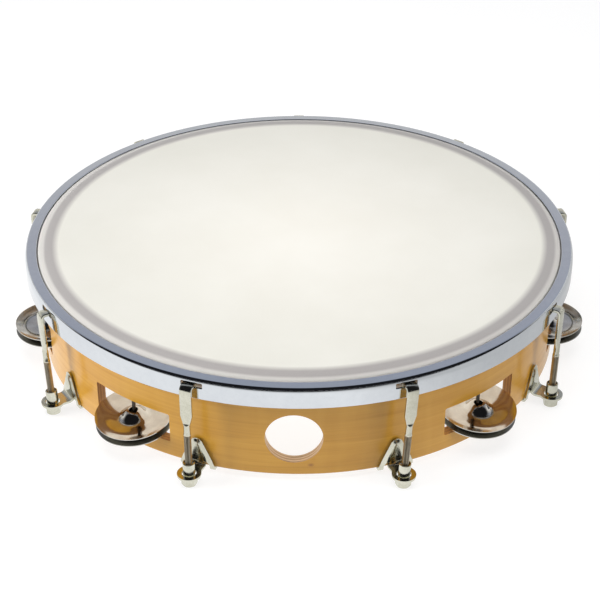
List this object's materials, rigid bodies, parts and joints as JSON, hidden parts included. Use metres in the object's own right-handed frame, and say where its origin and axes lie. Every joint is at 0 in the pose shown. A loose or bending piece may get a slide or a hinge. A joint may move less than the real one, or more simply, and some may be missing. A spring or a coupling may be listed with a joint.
{
  "type": "tambourine",
  "caption": "Round frame drum: plywood shell with jingle slots and a thumb hole, plastic head held by a chromed hoop and claw hooks.",
  "frame": {"origin": "centre of the head's playing surface, on the drum's axis", "axes": "+Z out of the playing surface along the drum's axis, -Y through the middle of the front where the thumb hole is"},
  "size_m": [0.335, 0.3321, 0.0671],
  "materials": {
    "shell_wood": "clear-varnished amber plywood, semi-gloss",
    "head_film": "coated polyester film, cream with a grey-mauve collar",
    "flesh_hoop_aluminium": "plain extruded",
    "hoop_chrome": "polished chrome plate on pressed steel",
    "hardware_nickel": "bright nickel plate on steel",
    "jingle_steel": "bright nickel plate on thin spun steel",
    "pin_steel": "plain darkened wire nail"
  },
  "bodies": {
    "frame": {"shell": "shell_wood", "head": "head_film", "flesh_hoop": "flesh_hoop_aluminium", "counter_hoop": "hoop_chrome", "hook_1": "hardware_nickel", "hook_2": "hardware_nickel", "hook_3": "hardware_nickel", "hook_4": "hardware_nickel", "hook_5": "hardware_nickel", "hook_6": "hardware_nickel", "hook_7": "hardware_nickel", "hook_8": "hardware_nickel", "hook_9": "hardware_nickel", "bracket_1": "hardware_nickel", "bracket_2": "hardware_nickel", "bracket_3": "hardware_nickel", "bracket_4": "hardware_nickel", "bracket_5": "hardware_nickel", "bracket_6": "hardware_nickel", "bracket_7": "hardware_nickel", "bracket_8": "hardware_nickel", "bracket_9": "hardware_nickel", "jingle_pin_1": "pin_steel", "jingle_pin_2": "pin_steel", "jingle_pin_3": "pin_steel", "jingle_pin_4": "pin_steel", "jingle_pin_5": "pin_steel", "jingle_pin_6": "pin_steel", "jingle_pin_7": "pin_steel", "jingle_pin_8": "pin_steel"},
    "nut_1": {"nut_1": "hardware_nickel"},
    "nut_2": {"nut_2": "hardware_nickel"},
    "nut_3": {"nut_3": "hardware_nickel"},
    "nut_4": {"nut_4": "hardware_nickel"},
    "nut_5": {"nut_5": "hardware_nickel"},
    "nut_6": {"nut_6": "hardware_nickel"},
    "nut_7": {"nut_7": "hardware_nickel"},
    "nut_8": {"nut_8": "hardware_nickel"},
    "nut_9": {"nut_9": "hardware_nickel"},
    "lower_jingle_1": {"lower_jingle_1": "jingle_steel"},
    "upper_jingle_1": {"upper_jingle_1": "jingle_steel"},
    "lower_jingle_2": {"lower_jingle_2": "jingle_steel"},
    "upper_jingle_2": {"upper_jingle_2": "jingle_steel"},
    "lower_jingle_3": {"lower_jingle_3": "jingle_steel"},
    "upper_jingle_3": {"upper_jingle_3": "jingle_steel"},
    "lower_jingle_4": {"lower_jingle_4": "jingle_steel"},
    "upper_jingle_4": {"upper_jingle_4": "jingle_steel"},
    "lower_jingle_5": {"lower_jingle_5": "jingle_steel"},
    "upper_jingle_5": {"upper_jingle_5": "jingle_steel"},
    "lower_jingle_6": {"lower_jingle_6": "jingle_steel"},
    "upper_jingle_6": {"upper_jingle_6": "jingle_steel"},
    "lower_jingle_7": {"lower_jingle_7": "jingle_steel"},
    "upper_jingle_7": {"upper_jingle_7": "jingle_steel"},
    "lower_jingle_8": {"lower_jingle_8": "jingle_steel"},
    "upper_jingle_8": {"upper_jingle_8": "jingle_steel"}
  },
  "joints": [
    {"name": "nut_1_spin", "type": "hinge", "parent": "frame", "child": "nut_1", "pos_m": [0.05509, -0.15482, -0.061], "axis": [0.053, 0.02, 0.9984], "continuous": true},
    {"name": "nut_2_spin", "type": "hinge", "parent": "frame", "child": "nut_2", "pos_m": [0.14229, -0.0822, -0.061], "axis": [0.025, 0.0451, 0.9987], "continuous": true},
    {"name": "nut_3_spin", "type": "hinge", "parent": "frame", "child": "nut_3", "pos_m": [0.16117, 0.03191, -0.061], "axis": [0, 0, 1], "continuous": true},
    {"name": "nut_4_spin", "type": "hinge", "parent": "frame", "child": "nut_4", "pos_m": [0.10561, 0.12586, -0.061], "axis": [0, 0, 1], "continuous": true},
    {"name": "nut_5_spin", "type": "hinge", "parent": "frame", "child": "nut_5", "pos_m": [0, 0.1643, -0.061], "axis": [0, 0, 1], "continuous": true},
    {"name": "nut_6_spin", "type": "hinge", "parent": "frame", "child": "nut_6", "pos_m": [-0.10561, 0.12586, -0.061], "axis": [0, 0, 1], "continuous": true},
    {"name": "nut_7_spin", "type": "hinge", "parent": "frame", "child": "nut_7", "pos_m": [-0.16117, 0.03191, -0.061], "axis": [0, 0, 1], "continuous": true},
    {"name": "nut_8_spin", "type": "hinge", "parent": "frame", "child": "nut_8", "pos_m": [-0.13801, -0.08938, -0.061], "axis": [-0.0576, 0.097, 0.9936], "continuous": true},
    {"name": "nut_9_spin", "type": "hinge", "parent": "frame", "child": "nut_9", "pos_m": [-0.05781, -0.15379, -0.061], "axis": [0, 0, 1], "continuous": true},
    {"name": "lower_jingle_1_rise", "type": "slide", "parent": "frame", "child": "lower_jingle_1", "axis": [0, 0, 1], "range_m": [0, 0.0035]},
    {"name": "upper_jingle_1_rise", "type": "slide", "parent": "lower_jingle_1", "child": "upper_jingle_1", "axis": [0, 0, 1], "range_m": [0, 0.004]},
    {"name": "lower_jingle_2_rise", "type": "slide", "parent": "frame", "child": "lower_jingle_2", "axis": [0, 0, 1], "range_m": [0, 0.0035]},
    {"name": "upper_jingle_2_rise", "type": "slide", "parent": "lower_jingle_2", "child": "upper_jingle_2", "axis": [0, 0, 1], "range_m": [0, 0.004]},
    {"name": "lower_jingle_3_rise", "type": "slide", "parent": "frame", "child": "lower_jingle_3", "axis": [0, 0, 1], "range_m": [0, 0.0035]},
    {"name": "upper_jingle_3_rise", "type": "slide", "parent": "lower_jingle_3", "child": "upper_jingle_3", "axis": [0, 0, 1], "range_m": [0, 0.004]},
    {"name": "lower_jingle_4_rise", "type": "slide", "parent": "frame", "child": "lower_jingle_4", "axis": [0, 0, 1], "range_m": [0, 0.0035]},
    {"name": "upper_jingle_4_rise", "type": "slide", "parent": "lower_jingle_4", "child": "upper_jingle_4", "axis": [0, 0, 1], "range_m": [0, 0.004]},
    {"name": "lower_jingle_5_rise", "type": "slide", "parent": "frame", "child": "lower_jingle_5", "axis": [0, 0, 1], "range_m": [0, 0.0035]},
    {"name": "upper_jingle_5_rise", "type": "slide", "parent": "lower_jingle_5", "child": "upper_jingle_5", "axis": [0, 0, 1], "range_m": [0, 0.004]},
    {"name": "lower_jingle_6_rise", "type": "slide", "parent": "frame", "child": "lower_jingle_6", "axis": [0, 0, 1], "range_m": [0, 0.0035]},
    {"name": "upper_jingle_6_rise", "type": "slide", "parent": "lower_jingle_6", "child": "upper_jingle_6", "axis": [0, 0, 1], "range_m": [0, 0.004]},
    {"name": "lower_jingle_7_rise", "type": "slide", "parent": "frame", "child": "lower_jingle_7", "axis": [0, 0, 1], "range_m": [0, 0.0035]},
    {"name": "upper_jingle_7_rise", "type": "slide", "parent": "lower_jingle_7", "child": "upper_jingle_7", "axis": [0, 0, 1], "range_m": [0, 0.004]},
    {"name": "lower_jingle_8_rise", "type": "slide", "parent": "frame", "child": "lower_jingle_8", "axis": [0, 0, 1], "range_m": [0, 0.0035]},
    {"name": "upper_jingle_8_rise", "type": "slide", "parent": "lower_jingle_8", "child": "upper_jingle_8", "axis": [0, 0, 1], "range_m": [0, 0.004]}
  ]
}
